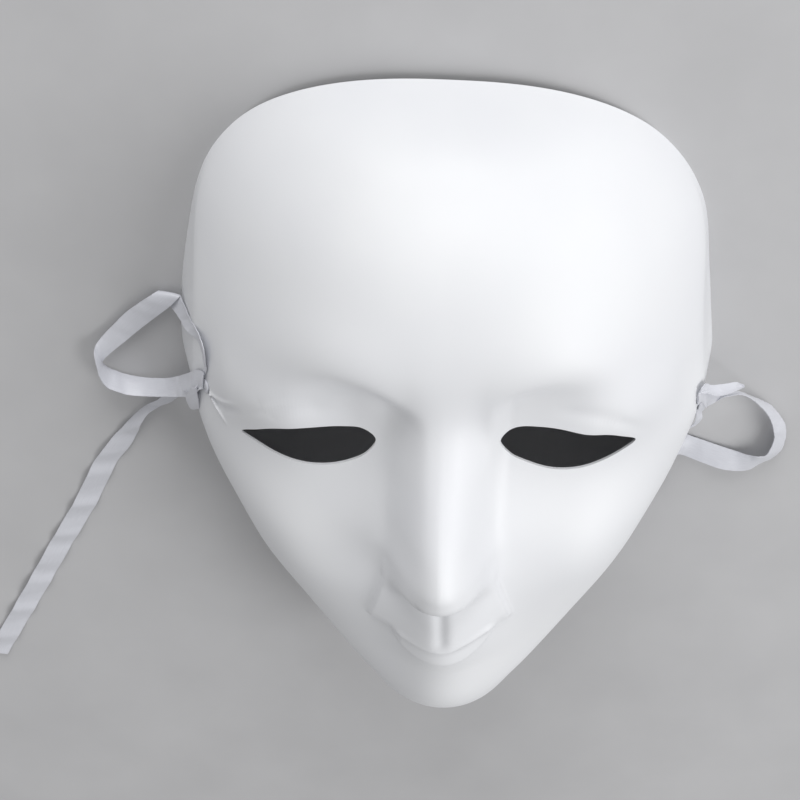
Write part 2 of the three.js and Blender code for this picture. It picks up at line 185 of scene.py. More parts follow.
# %% [markdown]
# ## The ribbons
#
# Each tie is one length of 8 mm satin ribbon. It is knotted through its hole, makes a loose loop and
# runs off across the table. A ribbon is limp, so it lies in soft bends with a fold where it doubles
# back. The route is a list of stations, each with the two edges of the ribbon, and a smooth curve
# through each side's points gives the two edges in between. That keeps the width true and lets the
# band lie flat, stand on edge or twist as the real one does.
#
# The left ribbon goes up beside the temple, folds over, swings round in a loop and comes back to the
# hole, and from there its tail runs down to the table. A short cut end hangs beside the knot.

# %% Stations along the left ribbon: both edges, in order away from the knot
LEFT_LOOP = [
    [(-78.7, -6.6, 31.3), (-77.8, -4.1, 33.2)],
    [(-78.8, -2.6, 30.6), (-77.6, 1.3, 34.6)],
    [(-79.1, 1, 29.4), (-77.8, 6.1, 35)],
    [(-80.2, 3.7, 27.4), (-78.7, 8.6, 33)],
    [(-82.6, 3.4, 23.2), (-80.2, 8.4, 28.3)],
    [(-85, 2.9, 19.7), (-81.7, 8.2, 24.2)],
    [(-86.9, 1.3, 14.2), (-83.9, 7, 18.3)],
    [(-89.7, 0.2, 6.7), (-86.2, 5.8, 10.3)],
    [(-92.2, 0.5, 2.5), (-87.6, 5.2, 6)],
    [(-96.2, 6.1, 1.2), (-88.6, 5.8, 3.4)],
    [(-96.5, 6.5, 2.2), (-88.7, 6.1, 4.4)],
    [(-98.8, 5.5, 3.2), (-91.7, 2.7, 4.6)],
    [(-102.9, 2.3, 3.2), (-97.5, -2.9, 4)],
    [(-107.6, -2, 2.6), (-103.7, -8.8, 3.6)],
    [(-112.8, -8, 2.4), (-109, -14.1, 3.4)],
    [(-116.8, -12.5, 3), (-113.8, -18.5, 3.6)],
    [(-119, -15.3, 4.6), (-116.6, -21.6, 3.6)],
    [(-119.2, -17.2, 6.6), (-117.4, -23.4, 2.8)],
    [(-118.6, -20.8, 8.2), (-117.3, -25, 1.9)],
    [(-117.5, -26.2, 9), (-115.6, -27.1, 1.4)],
    [(-115.4, -30.3, 8.6), (-113.3, -28.6, 1.1)],
    [(-109.6, -33.4, 8.2), (-108.9, -30.4, 0.9)],
    [(-102.3, -34, 8.4), (-102.5, -31.3, 1.2)],
    [(-94.8, -31.6, 11.5), (-95.4, -28.9, 4.4)],
    [(-88.5, -26.4, 18), (-89, -21.7, 12)],
    [(-85.1, -21.4, 24), (-84.8, -14.4, 19.8)],
    [(-81.8, -13.5, 29.6), (-81, -6.7, 28.4)],
    [(-79.2, -11.0, 32.9), (-78.7, -4.9, 32.6)],
]
LEFT_TAIL = [
    [(-82.8, -15.3, 29.2), (-81.8, -16.3, 28.6)],
    [(-87.8, -23.1, 17.9), (-85.8, -25.7, 16.2)],
    [(-92, -31.8, 8), (-89.2, -34.2, 7)],
    [(-98, -38.4, 3.6), (-94.3, -40.5, 2.4)],
    [(-105.4, -44.5, 1.8), (-101.9, -44, 4.4)],
    [(-110.5, -51, 1), (-105.4, -50.4, 3.6)],
    [(-117, -59.1, 1), (-109.5, -60.2, 0.9)],
    [(-123.9, -69.6, 0.9), (-116.1, -70.7, 0.7)],
    [(-132.9, -89, 1), (-124.9, -90.2, 0.7)],
    [(-144.2, -110.6, 0.9), (-136.4, -111.9, 0.7)],
    [(-157, -135.7, 1), (-149.2, -137.1, 0.7)],
    [(-170, -160.7, 0.9), (-162.4, -162.2, 0.7)],
    [(-174.4, -168.4, 0.8), (-166.3, -169.7, 0.8)],
]
LEFT_STUB = [
    [(-83.1, -12.7, 30.6), (-81, -10.6, 31.4)],
    [(-85.8, -19.8, 26.5), (-81.5, -15.4, 29.8)],
    [(-85.7, -24, 24.5), (-81.4, -19.8, 28.6)],
    [(-85, -27.8, 22.5), (-81.5, -24.5, 26.4)],
]
print("left stations:", [len(part) for part in (LEFT_LOOP, LEFT_TAIL, LEFT_STUB)])

# %% [markdown]
# The right ribbon hangs from its hole in one wide loop. It turns back under the jaw and its free length
# lies flat on the table there, hidden from the camera. One short end stands out from the hole and a
# second, narrower one lies down along the side wall.

# %% Stations along the right ribbon
RIGHT_LOOP = [
    [(86.7, -17.8, 28.9), (86.5, -12.4, 29.5)],
    [(87.9, -16.9, 28), (87.7, -11.9, 28.5)],
    [(90.3, -21.1, 25.5), (90.1, -13.1, 26)],
    [(92.7, -21.6, 23), (93.6, -16.2, 21.4)],
    [(95.8, -20.5, 21.5), (97.5, -20.8, 15.8)],
    [(99.1, -20.7, 19.5), (100.7, -23.7, 12.6)],
    [(102, -22, 17.2), (103.6, -25.8, 10.2)],
    [(104.5, -23.6, 15), (106.1, -27.8, 8.5)],
    [(108.1, -26.8, 13), (109.6, -31, 6.4)],
    [(111.3, -30.7, 11.4), (113.5, -33.8, 4.8)],
    [(114.5, -35, 10), (117.1, -37.1, 3.1)],
    [(117.1, -40, 8.6), (120.9, -41.9, 1.8)],
    [(119, -45.6, 7.2), (124.1, -47.7, 1.5)],
    [(119.9, -50.2, 6), (124.9, -54.1, 1.6)],
    [(119.2, -54.9, 5.9), (123.8, -59.5, 1.3)],
    [(117.6, -58.1, 6), (121.4, -63, 1)],
    [(115.1, -58.4, 6.2), (117.5, -64.7, 1.9)],
    [(112.3, -59.2, 4.4), (112.6, -67, 3.2)],
    [(106.7, -58.8, 2), (103.9, -65.8, 4.6)],
    [(99, -56.4, 1.2), (95.2, -63.2, 3.6)],
    [(92.4, -53.9, 1), (88.6, -60.6, 3)],
    [(88.2, -52.6, 0.8), (86.2, -58.8, 5.4)],
    [(85.4, -54.8, 0.7), (85.2, -60.4, 6.4)],
    [(81.6, -62, 0.7), (82.8, -65.4, 7.6)],
    [(77.6, -70.2, 0.7), (80.8, -70.8, 7.6)],
    [(73.6, -77.4, 0.7), (80, -76, 5)],
    [(69.4, -88, 0.8), (76.4, -84.2, 0.8)],
    [(61.8, -98.8, 0.8), (67.8, -93.5, 0.8)],
    [(52, -108.8, 0.8), (57.5, -103, 0.8)],
    [(41.2, -119.4, 0.8), (46.9, -113.8, 0.8)],
    [(31.6, -131.8, 0.7), (38.2, -127.3, 0.9)],
    [(24.4, -146.2, 0.8), (31.6, -142.7, 0.8)],
    [(15.2, -158.6, 0.8), (20.9, -153, 0.8)],
    [(10.4, -163.2, 0.8), (15.7, -157.2, 0.8)],
]
RIGHT_END = [
    [(87.2, -10.6, 29), (87.8, -12.4, 29.5)],
    [(89.1, -10.6, 26), (89.9, -13.3, 28)],
    [(92.5, -13.5, 23), (93, -15.7, 26.2)],
    [(97, -14.7, 20.5), (97.2, -16.8, 23.8)],
    [(100.3, -15.2, 19), (100.5, -17, 21.5)],
    [(102.6, -16.6, 18), (102.8, -17.7, 19)],
    [(103.9, -17.5, 17.6), (104, -17.9, 17.8)],
]
RIGHT_STUB = [
    [(89.6, -18.4, 27.0), (87.8, -17.2, 28.0)],
    [(90.0, -21.4, 25.5), (87.4, -20.2, 27.9)],
    [(89.7, -23.4, 25.0), (87.2, -22.4, 27.4)],
    [(89.4, -25.7, 24.5), (87.1, -24.8, 27.1)],
    [(89.0, -28.5, 24.0), (86.6, -27.4, 26.6)],
    [(87.8, -30.6, 23.5), (85.9, -29.6, 26.0)],
    [(86.6, -31.9, 23.3), (85.2, -31.0, 25.6)],
]
print("right stations:", [len(part) for part in (RIGHT_LOOP, RIGHT_END, RIGHT_STUB)])

# %% [markdown]
# ### From stations to a band
#
# A curve that passes through every station without swinging wide at a tight fold is wanted here, so
# the edges are centripetal Catmull-Rom curves, the kind that spaces its steps by the square root of
# each gap. The curve is then walked at an even pace, because evenly spaced rows of faces bend evenly.

# %% A curve through points
def through_points(points, per_gap=24):
    p = np.array(points, float)
    p = np.vstack([2 * p[0] - p[1], p, 2 * p[-1] - p[-2]])
    share = np.linspace(0, 1, per_gap, endpoint=False)[:, None]
    runs = []
    for a, b, c, d in zip(p, p[1:], p[2:], p[3:]):
        ab, bc, cd = (max(np.linalg.norm(v), 1e-6) ** 0.5 for v in (b - a, c - b, d - c))
        start = bc * ((b - a) / ab - (c - a) / (ab + bc) + (c - b) / bc)
        end = bc * ((c - b) / bc - (d - b) / (bc + cd) + (d - c) / cd)
        runs.append(b + start * share + (3 * (c - b) - 2 * start - end) * share**2
                    + (2 * (b - c) + start + end) * share**3)
    return np.vstack(runs + [p[-2:-1]])


print("points on the left loop's first edge:", len(through_points([pair[0] for pair in LEFT_LOOP])))

# %% The edges and faces of a band
ROW_STEP = 0.7


class Band:
    """The two edges of a ribbon at even steps, with the direction that its face looks."""

    def __init__(self, stations):
        first, second = (through_points([pair[k] for pair in stations]) for k in (0, 1))
        middle = (first + second) / 2
        walked = np.concatenate([[0], np.cumsum(np.linalg.norm(np.diff(middle, axis=0), axis=1))])
        self.length = walked[-1]
        self.at = np.linspace(0, self.length, int(self.length / ROW_STEP) + 1)
        self.first, self.second = (
            np.stack([np.interp(self.at, walked, edge[:, k]) for k in range(3)], axis=1)
            for edge in (first, second)
        )
        self.middle = (self.first + self.second) / 2
        along = np.gradient(self.middle, axis=0)
        face = np.cross(along, self.second - self.first)
        self.face = face / np.linalg.norm(face, axis=1, keepdims=True)

    def point(self, u, v, proud):
        """Points at shares u along and v across, standing off the flat band by proud millimetres."""
        row = u * (len(self.at) - 1)
        low = np.clip(row.astype(int), 0, len(self.at) - 2)
        rest = (row - low)[:, None]

        def between(values):
            return values[low] * (1 - rest) + values[low + 1] * rest

        first, second, face = between(self.first), between(self.second), between(self.face)
        return first + (second - first) * v[:, None] + face * proud[:, None]


left_band = Band(LEFT_LOOP + LEFT_TAIL)
left_stub_band = Band(LEFT_STUB)
right_band = Band(RIGHT_LOOP)
right_end_band = Band(RIGHT_END)
right_stub_band = Band(RIGHT_STUB)
for name, band in (("left", left_band), ("right", right_band)):
    print(name, "ribbon is", round(band.length), "mm long")

# %% [markdown]
# ### Wrinkles
#
# A satin ribbon remembers how it was wound and squeezed. It cups a little across its width, the
# woven edges wave, and short creases run across it at a slant. Each crease here is a
# narrow ridge or valley with a place along the ribbon, a height, a width and a slant, all in
# millimetres. Ripples that come back at a steady gap are added from a given place on, as on the tail.

# %% Crease a band and give it thickness
RIBBON_THICKNESS = 0.3
RIBBON_ROWS = 14
CUP = 0.25
RIPPLE_START, RIPPLE_DEPTH, RIPPLE_GAP = 0, 0.04, 11
RIPPLE_RISE = 12
RIPPLE_LEAN = 1.5
UNEVENNESS = 1.2
PUCKER = 0.06
EDGE_WAVE = 0.05


def creased(band, creases, cup, ripple):
    start, depth, gap = ripple

    def proud(u, v):
        along = u * band.length
        side = (v - 0.5) * 2
        height = cup * (1 - side**2)
        wander = along + UNEVENNESS * np.sin(along * 0.31) + RIPPLE_LEAN * side
        height += depth * np.sin(2 * pi * wander / gap) * ramp(start, start + RIPPLE_RISE, along)
        height += PUCKER * np.sin(along * 0.9 + 2.2 * side) * np.sin(along * 0.23 + 1.0)
        height += EDGE_WAVE * np.sin(along * 2.3 + 5 * v) * ramp(0.5, 1, np.abs(side))
        for place, peak, width, slant in creases:
            height += peak * bell(along + slant * side, place, width)
        return height

    return lambda x, y: band.point((x + 1) / 2, (y + 1) / 2, proud((x + 1) / 2, (y + 1) / 2))


def make_ribbon(name, band, creases, cup=CUP, ripple=(RIPPLE_START, RIPPLE_DEPTH, RIPPLE_GAP)):
    piece = make_sheet(name, int(band.length / ROW_STEP), RIBBON_ROWS, creased(band, creases, cup, ripple))
    apply_modifier(piece, "SOLIDIFY", thickness=RIBBON_THICKNESS / 1000, offset=0)
    smooth_by_angle(piece, 50)
    print(name, "has", len(piece.data.polygons), "faces")
    return piece


# %% [markdown]
# The creases are chosen along each ribbon: a few faint ones on the loops, and stronger ones near
# the knots, on the left tail and on the short ends.

# %% The five lengths of ribbon
left_ribbon = make_ribbon("ribbon_left_band", left_band, [
    (3, 0.3, 1.0, 1.0), (30, 0.15, 1.5, 1.0), (96, 0.2, 1.4, 1.5), (124, -0.25, 1.4, -1.5),
    (146, 0.3, 1.5, 2.0), (158, -0.3, 1.6, -2.5), (167, 0.35, 1.8, 2.0), (183, 0.35, 2.4, -3.0),
    (201, -0.3, 3.0, 2.0), (222, 0.3, 2.6, 3.5),
], ripple=(155, 0.45, 15.3))
left_stub = make_ribbon("ribbon_left_stub", left_stub_band, [(5, 0.25, 1.2, 1.0)], cup=0.5)
right_ribbon = make_ribbon("ribbon_right_band", right_band, [
    (4, 0.3, 1.3, 1.0), (10, -0.35, 1.6, -1.5), (17, 0.3, 1.3, 1.2), (61, -0.15, 1.5, -2.0),
    (88, 0.15, 2.5, 1.5), (130, 0.2, 2.0, -2.0), (180, -0.2, 2.0, 2.0),
])
right_end = make_ribbon("ribbon_right_end", right_end_band, [
    (5, 0.35, 1.0, 1.0), (11, -0.3, 1.2, -1.2), (17, -0.35, 1.1, 0.4),
], cup=0.5)
right_stub = make_ribbon("ribbon_right_stub", right_stub_band, [
    (5, 0.5, 1.2, 0.6), (9, -0.4, 1.2, -0.6),
], cup=0.3)

# %% [markdown]
# ### Knots
#
# What shows of each knot is a low plug of ribbon in the hole, and a lump of turns inside keeps it from
# slipping out. A knot could be swept along a true knot's curve, but at this size only its bulk and
# the valleys between its turns read. So it is a few fat rings laid across each other round two rounded
# cores, fused by a voxel remesh and gently smoothed.
#
# A ring is given by its height over the outside of the wall, its radius, the radius of its turn, and how
# far it leans and is turned. A core is given by its lowest and highest point and its radius.

# %% Knot lumps at the tie holes
RINGS = [(0.1, 2.0, 0.5, 4, 0), (0.1, 1.1, 0.5, 10, 70), (-3.1, 1.5, 1.2, 20, 40)]
CORES = [(-1.6, 0.4, 2.2), (-4.0, 0.8, 1.9)]
KNOT_VOXEL = 0.22
RING_SEGMENTS = 40
SECTION_SEGMENTS = 16
CORE_SEGMENTS = 32


def turn_to(direction):
    return Vector(direction).to_track_quat("Z", "Y").to_matrix().to_4x4()


def make_ring(height, radius, turn_radius, lean, turn):
    deselect_all()
    bpy.ops.mesh.primitive_torus_add(major_segments=RING_SEGMENTS, minor_segments=SECTION_SEGMENTS,
                                     major_radius=radius / 1000, minor_radius=turn_radius / 1000)
    lump = bpy.context.object
    tilt = Matrix.Rotation(radians(turn), 4, "Z") @ Matrix.Rotation(radians(lean), 4, "X")
    lump.data.transform(Matrix.Translation((0, 0, height / 1000)) @ tilt)
    return lump


def make_core(low, high, radius):
    deselect_all()
    bpy.ops.mesh.primitive_uv_sphere_add(segments=CORE_SEGMENTS, ring_count=CORE_SEGMENTS // 2, radius=1)
    lump = bpy.context.object
    size = Matrix.Diagonal((radius / 1000, radius / 1000, (high - low) / 2000, 1))
    lump.data.transform(Matrix.Translation((0, 0, (low + high) / 2000)) @ size)
    return lump


def make_knot(name, hole, direction):
    lumps = [make_ring(*ring) for ring in RINGS] + [make_core(*core) for core in CORES]
    for lump in lumps:
        lump.data.transform(Matrix.Translation(Vector(to_frame(hole))) @ turn_to(direction))
    pick(lumps[0])
    for lump in lumps:
        lump.select_set(True)
    bpy.ops.object.join()
    knot = bpy.context.object
    knot.name = name
    knot.data.name = name
    apply_modifier(knot, "REMESH", mode="VOXEL", voxel_size=KNOT_VOXEL / 1000)
    apply_modifier(knot, "SMOOTH", factor=0.5, iterations=4)
    smooth_by_angle(knot, 70)
    print(name, "has", len(knot.data.polygons), "faces")
    return knot


LEFT_HOLE = (-78.2, -10.8, 31.8)
LEFT_HOLE_LOOKS = (-0.87, 0.04, 0.5)
RIGHT_HOLE = (87.4, -15.9, 26.4)
RIGHT_HOLE_LOOKS = (0.88, 0.06, 0.47)
left_knot = make_knot("ribbon_left_knot", LEFT_HOLE, LEFT_HOLE_LOOKS)
right_knot = make_knot("ribbon_right_knot", RIGHT_HOLE, RIGHT_HOLE_LOOKS)

# %% [markdown]
# ### The ribbons on the root
#
# A ribbon is a flat cord. Each one is hung on the root with its knot and its short ends, and the
# imported model's own piece for it is hidden.

for ribbon, band, extras, node in (
    (left_ribbon, left_band, (left_knot, left_stub), "ribbon_left"),
    (right_ribbon, right_band, (right_knot, right_end, right_stub), "ribbon_right"),
):
    for piece in (ribbon, *extras):
        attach(piece, "root")
        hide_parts(node)
    print(ribbon.name, "is declared", round(band.length, 1), "mm long with", len(extras), "more pieces")

# %% [markdown]
# ## The face
#
# The mask is one sheet of plastic, so it is one grid. A grid of squares is first read as rings around
# a hub under the nose, which lets its border follow the trimmed rim. The last rings turn down over a
# rounded crease and form the side wall.
#
# The height is built up the way a mask maker builds a mould: a smooth dome first, then the sockets
# under the brow, the nose, the plate of the upper lip and the lower lip. Each is a soft step or a
# bell, so every feature has a place, a size and a softness of its own. In all that follows x runs to
# the right, y towards the forehead and z out of the face, in millimetres.
#
# Three outlines are drawn through a few stations: the profile down the middle, and how much wider or
# narrower than a plain outline each side was trimmed.

# %% A curve through stations
def smooth_curve(stations):
    """A natural cubic curve through stations of place and value."""
    x, y = np.array(stations, float).T
    gap = np.diff(x)
    system = np.eye(len(x))
    turns = np.zeros(len(x))
    for i in range(1, len(x) - 1):
        system[i, i - 1:i + 2] = gap[i - 1], 2 * (gap[i - 1] + gap[i]), gap[i]
        turns[i] = 6 * ((y[i + 1] - y[i]) / gap[i] - (y[i] - y[i - 1]) / gap[i - 1])
    bend = np.linalg.solve(system, turns)

    def value(v):
        v = np.clip(v, x[0], x[-1])
        i = np.clip(np.searchsorted(x, v) - 1, 0, len(x) - 2)
        a = (x[i + 1] - v) / gap[i]
        b = 1 - a
        cubic = (a**3 - a) * bend[i] + (b**3 - b) * bend[i + 1]
        return a * y[i] + b * y[i + 1] + cubic * gap[i] ** 2 / 6

    return value


print("a curve through 0, 1 and 0 is", smooth_curve([(0, 0), (1, 1), (2, 0)])(0.5), "a quarter of the way")

# %% Outline of the face
FACE_HALF_WIDTH = 83.5
TOP_Y = 89.0
WIDEST_Y = 2.0
CHIN_Y = -142.0
MIDDLE_X = 1.8
CHIN_SWAY = 2.0
FOREHEAD_SQUARENESS = 3.5
FOREHEAD_FULLNESS = 1 / 2.6
JAW_SQUARENESS = 2.5
JAW_TAPER = 0.87
CHIN_BLUNTING = 0.3

profile = smooth_curve([
    (-142, 38), (-139, 49), (-132, 60.5), (-120, 68.5), (-106, 70.5), (-86, 72.5), (-60, 73.5),
    (-30, 67), (0, 66), (20, 70.5), (40, 67.5), (58, 58.5), (73, 43.5), (83, 26), (89, 6),
])
left_trim = smooth_curve([
    (-142, -1.6), (-112, -1.5), (-72, -0.8), (-54, 0.8), (-38, 1.8), (-24, 2.2), (-8, 1.6), (14, 0.6),
    (33, 1.1), (54, 2.5), (72, 1.2), (89, 0),
])
right_trim = smooth_curve([
    (-142, -1.6), (-112, -2.1), (-87, -1.5), (-67, -0.2), (-54, 1.5), (-38, 2.5), (-28, 3.6), (-19, 4.5),
    (-7, 3.3), (8, 1.5), (20, 0.9), (45, 1.8), (64, 0.3), (72, -0.3), (89, 0),
])


def middle(y):
    return MIDDLE_X + CHIN_SWAY * ramp(-20, -135, y)


def half_width(x, y):
    """Width from the middle line to the crease, on the side where x lies."""
    up = np.clip((y - WIDEST_Y) / (TOP_Y - WIDEST_Y), 0, 1)
    down = np.clip((WIDEST_Y - y) / (WIDEST_Y - CHIN_Y), 0, 1)
    upper = (1 - up**FOREHEAD_SQUARENESS) ** FOREHEAD_FULLNESS
    lower = (1 - down**JAW_SQUARENESS) ** (JAW_TAPER - CHIN_BLUNTING * ramp(0.82, 1, down))
    plain = FACE_HALF_WIDTH * np.where(y > WIDEST_Y, upper, lower)
    return plain + np.where(x < middle(y), left_trim(y), right_trim(y))


widest = half_width(-50.0, WIDEST_Y) + half_width(50.0, WIDEST_Y)
print("the face is", widest.round(1), "mm wide at its widest, before the side walls")

# %% [markdown]
# The side wall is only a turned edge at the forehead. It is tallest at the temples, where it also flares
# outwards, and lower again round the jaw. The rim lies on the table at the sides and lifts off it at
# both ends. The dome rises from the crease between face and wall to the profile.

# %% Rim, side wall and dome
FOREHEAD_LIFT = 3
CHIN_LIFT = 26
TURNED_EDGE = 3
TEMPLE_WALL = 19
LEFT_FLARE, LEFT_FLARE_END = 7.0, -10
RIGHT_FLARE, RIGHT_FLARE_END = 5.5, -28
DOME_SQUARENESS = 2.4
DOME_FULLNESS = 0.9


def share_across(x, y):
    return np.clip(np.abs(x - middle(y)) / np.maximum(half_width(x, y), 1e-6), 0, 1)


def rim_height(y):
    return FOREHEAD_LIFT * ramp(70, TOP_Y, y) + CHIN_LIFT * ramp(-70, CHIN_Y, y)


def crease_height(y):
    return rim_height(y) + TURNED_EDGE + TEMPLE_WALL * ramp(62, 5, y) * (1 - 0.5 * ramp(-20, -70, y))


def flare(x, y):
    side = np.where(x < 0, LEFT_FLARE, RIGHT_FLARE)
    start = np.where(x < 0, LEFT_FLARE_END, RIGHT_FLARE_END)
    return 1 + (side - 1) * ramp(55, 5, y) * (1 - 0.75 * ramp(start, start - 45, y))


def dome(x, y):
    across = share_across(x, y)
    edge = crease_height(y)
    squareness = DOME_SQUARENESS - 0.3 * ramp(-10, -60, y)
    fullness = DOME_FULLNESS - 0.33 * ramp(10, -50, y)
    return edge + (profile(y) - edge) * (1 - across**squareness) ** fullness


print("the dome stands", dome(0.0, 20.0).round(1), "mm high over the middle of the forehead")

# %% [markdown]
# ### Brow and eyelids
#
# The brow is a curved edge, and the face steps down below it into the eye socket. The step is crisp beside
# the nose and fades towards the temple. On the right it starts further out and is a little shallower.
# The bone of the brow, the socket and the full upper lid are soft hills and hollows, each the product of
# two bells, with a faint fold across the lid. In the functions below, a is the distance to the side from
# the middle line of the features.

# %% Brow, sockets and lids
FACE_LINE_X = -0.3
FACE_LINE_SWAY = 2.6
BROW_STEP = 4.2
BROW_ROUNDING = 0.9
STEP_REACH = 7.5
RIGHT_STEP_SHIFT = 11
RIGHT_STEP_LOSS = 0.3
RIGHT_LID_LOSS = 0.9
BONE_HEIGHT = 4.5
SOCKET_DEPTH = 2.5
LID_HEIGHT = 5.8
FOLD_DEPTH = 0.6

brow_edge = smooth_curve([
    (0, 5.5), (5, 7), (13, 11), (22, 16.2), (29, 18.2), (36, 18.6), (48, 15.5), (60, 9), (75, -3),
    (90, -14),
])


def hill(a, y, height, aside, width, along, length):
    """A soft hill, aside from the middle line and along the face, with its width and its length."""
    return height * bell(a, aside, width) * bell(y, along, length)


def face_line(y):
    """The middle line of the features, which wanders a little from the middle of the outline."""
    return FACE_LINE_X + FACE_LINE_SWAY * ramp(-20, -115, y)


def soft_kink(distance, radius):
    """Zero on one side and a straight slope on the other, with a rounded turn in between."""
    return radius * np.logaddexp(0, distance / radius)


def brow_and_lids(x, a, y):
    brow = brow_edge(a)
    right_side = ramp(6, 16, x)
    shift = RIGHT_STEP_SHIFT * ramp(0, 8, x)
    below = np.clip(soft_kink(brow - y, BROW_ROUNDING) / STEP_REACH, 0, 1)
    depth = BROW_STEP - RIGHT_STEP_LOSS * right_side
    step = depth * ramp(4 + shift, 18 + 0.45 * shift, a) * ramp(50, 26, a)
    step *= 1 - (1 - below) ** 2
    step *= ramp(brow - 60, brow - 15, y)
    socket = hill(a, y, height=SOCKET_DEPTH, aside=42, width=15, along=9.5, length=16)
    bone = hill(a, y, height=BONE_HEIGHT, aside=50, width=27, along=brow + 2, length=18)
    lid_height = LID_HEIGHT - RIGHT_LID_LOSS * right_side
    lid = hill(a, y, height=lid_height, aside=56, width=25, along=-3, length=13)
    fold_line = 4.2 - 0.02 * (a - 40) * np.abs(a - 40)
    fold = FOLD_DEPTH * bell(y, fold_line, 2.4) * ramp(34, 42, a) * ramp(70, 60, a)
    return bone + lid - step - socket - fold


beside_nose = brow_and_lids(-20.0, 20.0, 5.0)
print("the left socket lies", -beside_nose.round(1), "mm under the dome beside the nose")

# %% [markdown]
# ### Nose
#
# The nose is a ridge that grows towards its tip, with a straight slope on each side. Both turns of the
# slope are rounded: the one at the ridge more, the one at the foot less. The ridge widens at the tip,
# and the underside hangs a little lower at each side. A low skirt carries the nose into the cheeks, and
# a small swelling on each side makes the wings.

# %% Nose
RIDGE_HALF_WIDTH = 4.8
TIP_WIDENING = 3.0
ROOT_HALF_WIDTH = 12
FOOT_WIDENING = 5
RIDGE_ROUNDING = 2.4
FOOT_ROUNDING = 1.3
WING_DROP = 1.5
SKIRT_HEIGHT = 4.5
WING_HEIGHT = 1.8

nose_ridge = smooth_curve([
    (-70, 0), (-62, 0.5), (-56, 6), (-52, 17.5), (-47, 24.5), (-40, 25.5), (-24, 19), (-8, 11),
    (4, 5.2), (14, 2.0), (24, 0.4), (36, 0),
])


def nose(a, y):
    ridge = RIDGE_HALF_WIDTH + TIP_WIDENING * ramp(-34, -54, y)
    foot = ROOT_HALF_WIDTH + FOOT_WIDENING * ramp(8, -16, y)
    slope = (soft_kink(foot - a, FOOT_ROUNDING) - soft_kink(ridge - a, RIDGE_ROUNDING)) / (foot - ridge)
    base = y + WING_DROP * (np.minimum(a, 15.5) / 15) ** 2 * ramp(-28, -46, y)
    skirt = hill(a, y, height=SKIRT_HEIGHT, aside=0, width=27, along=-34, length=22)
    wing = hill(a, y, height=WING_HEIGHT, aside=14.5, width=5, along=-46, length=7)
    return nose_ridge(base) * slope + skirt + wing


print("the nose stands", nose(0.0, -42.0).round(1), "mm over the face at its tip")

# %% [markdown]
# ### Mouth, chin and cheeks
#
# The upper lip is a flat plate with a crisp slanting side, a groove down its middle and a lower edge that
# curves up to the corners of the mouth. The lower lip is a second plate, a little wider on the right, that
# runs on under the first. Both sit on a broad mound, and the chin and the cheeks are single hills.

# %% Mouth, chin and cheeks
MOUTH_Y = -79.5
LOWER_LIP_Y = -87.4
UPPER_LIP_HEIGHT = 1.4
LOWER_LIP_HEIGHT = 2.2
GROOVE_DEPTH = 1.4
MOUND_HEIGHT = 3.5
MUZZLE_HEIGHT = 7.5
CHIN_HEIGHT = 3.6
CHEEK_HEIGHT = 6


def mouth(x, a, y):
    under_nose = ramp(-46, -58, y)
    lip = MOUTH_Y + 4.0 * np.minimum(a / 25, 1.3) ** 1.4 + 0.04 * (x - face_line(y))
    side = 18.5 + 5.6 * np.clip((-56 - y) / 20, 0, 1)
    inside = ramp(side + 1.0, side - 0.7, a)
    plate = ramp(lip - 0.7, lip + 0.9, y) * inside * under_nose
    groove = GROOVE_DEPTH * bell(x - face_line(y), 0.3, 2.2) * ramp(-79, -74, y) * ramp(-56, -62, y)
    lower = np.minimum(LOWER_LIP_Y + 7 * (a / 16.5) ** 3, lip - 2)
    corner = 17 + 3 * ramp(-4, 4, x)
    fullness = ramp(corner, corner - 4, a)
    fullness += (bell(a, 0, 19) * inside - fullness) * ramp(lip - 1, lip + 4, y)
    lower_lip = ramp(lower - 0.9, lower + 1.0, y) * fullness * under_nose
    mound = MOUND_HEIGHT * bell(a, 0, 15) * ramp(-98, -84, y) * under_nose
    muzzle = hill(a, y, height=MUZZLE_HEIGHT, aside=0, width=16.5, along=-83.5, length=26)
    return UPPER_LIP_HEIGHT * plate + LOWER_LIP_HEIGHT * lower_lip + mound + muzzle - groove


def chin_and_cheeks(a, y):
    """The chin is broad and low, and the cheeks are full beside the mouth."""
    chin = hill(a, y, height=CHIN_HEIGHT, aside=0, width=15, along=-110, length=16)
    cheeks = hill(a, y, height=CHEEK_HEIGHT, aside=55, width=20, along=-62, length=27)
    return chin + cheeks


# %% Dome and features together
def face_height(x, y):
    a = np.abs(x - face_line(y))
    features = brow_and_lids(x, a, y) + nose(a, y) + mouth(x, a, y) + chin_and_cheeks(a, y)
    return dome(x, y) + features * ramp(1.0, 0.84, share_across(x, y))


print("the tip of the nose is", face_height(0.0, -45.0).round(1), "mm over the table")

# %% [markdown]
# ### From the grid to the trimmed sheet
#
# The rings need to know how far the face reaches in each direction from the hub. Halving a guess
# forty times finds that edge for all directions at once. The rings crowd together a little towards the
# crease, and the outermost share of them is the side wall.

# %% Shape the face sheet
HUB_Y = -58.0
FACE_CELLS = 212
WALL_SHARE = 0.11
CROWDING = 0.28
FARTHEST = 260.0
HALVINGS = 40
TOP_SLANT = 0.03


def edge_radius(angle):
    near = np.zeros_like(angle)
    far = np.full_like(angle, FARTHEST)
    for _ in range(HALVINGS):
        r = (near + far) / 2
        x, y = r * np.cos(angle), HUB_Y + r * np.sin(angle)
        held = np.clip(y, CHIN_Y, TOP_Y)
        inside = (y < TOP_Y) & (y > CHIN_Y) & (np.abs(x - middle(held)) < half_width(x, held))
        near, far = np.where(inside, r, near), np.where(inside, far, r)
    return near


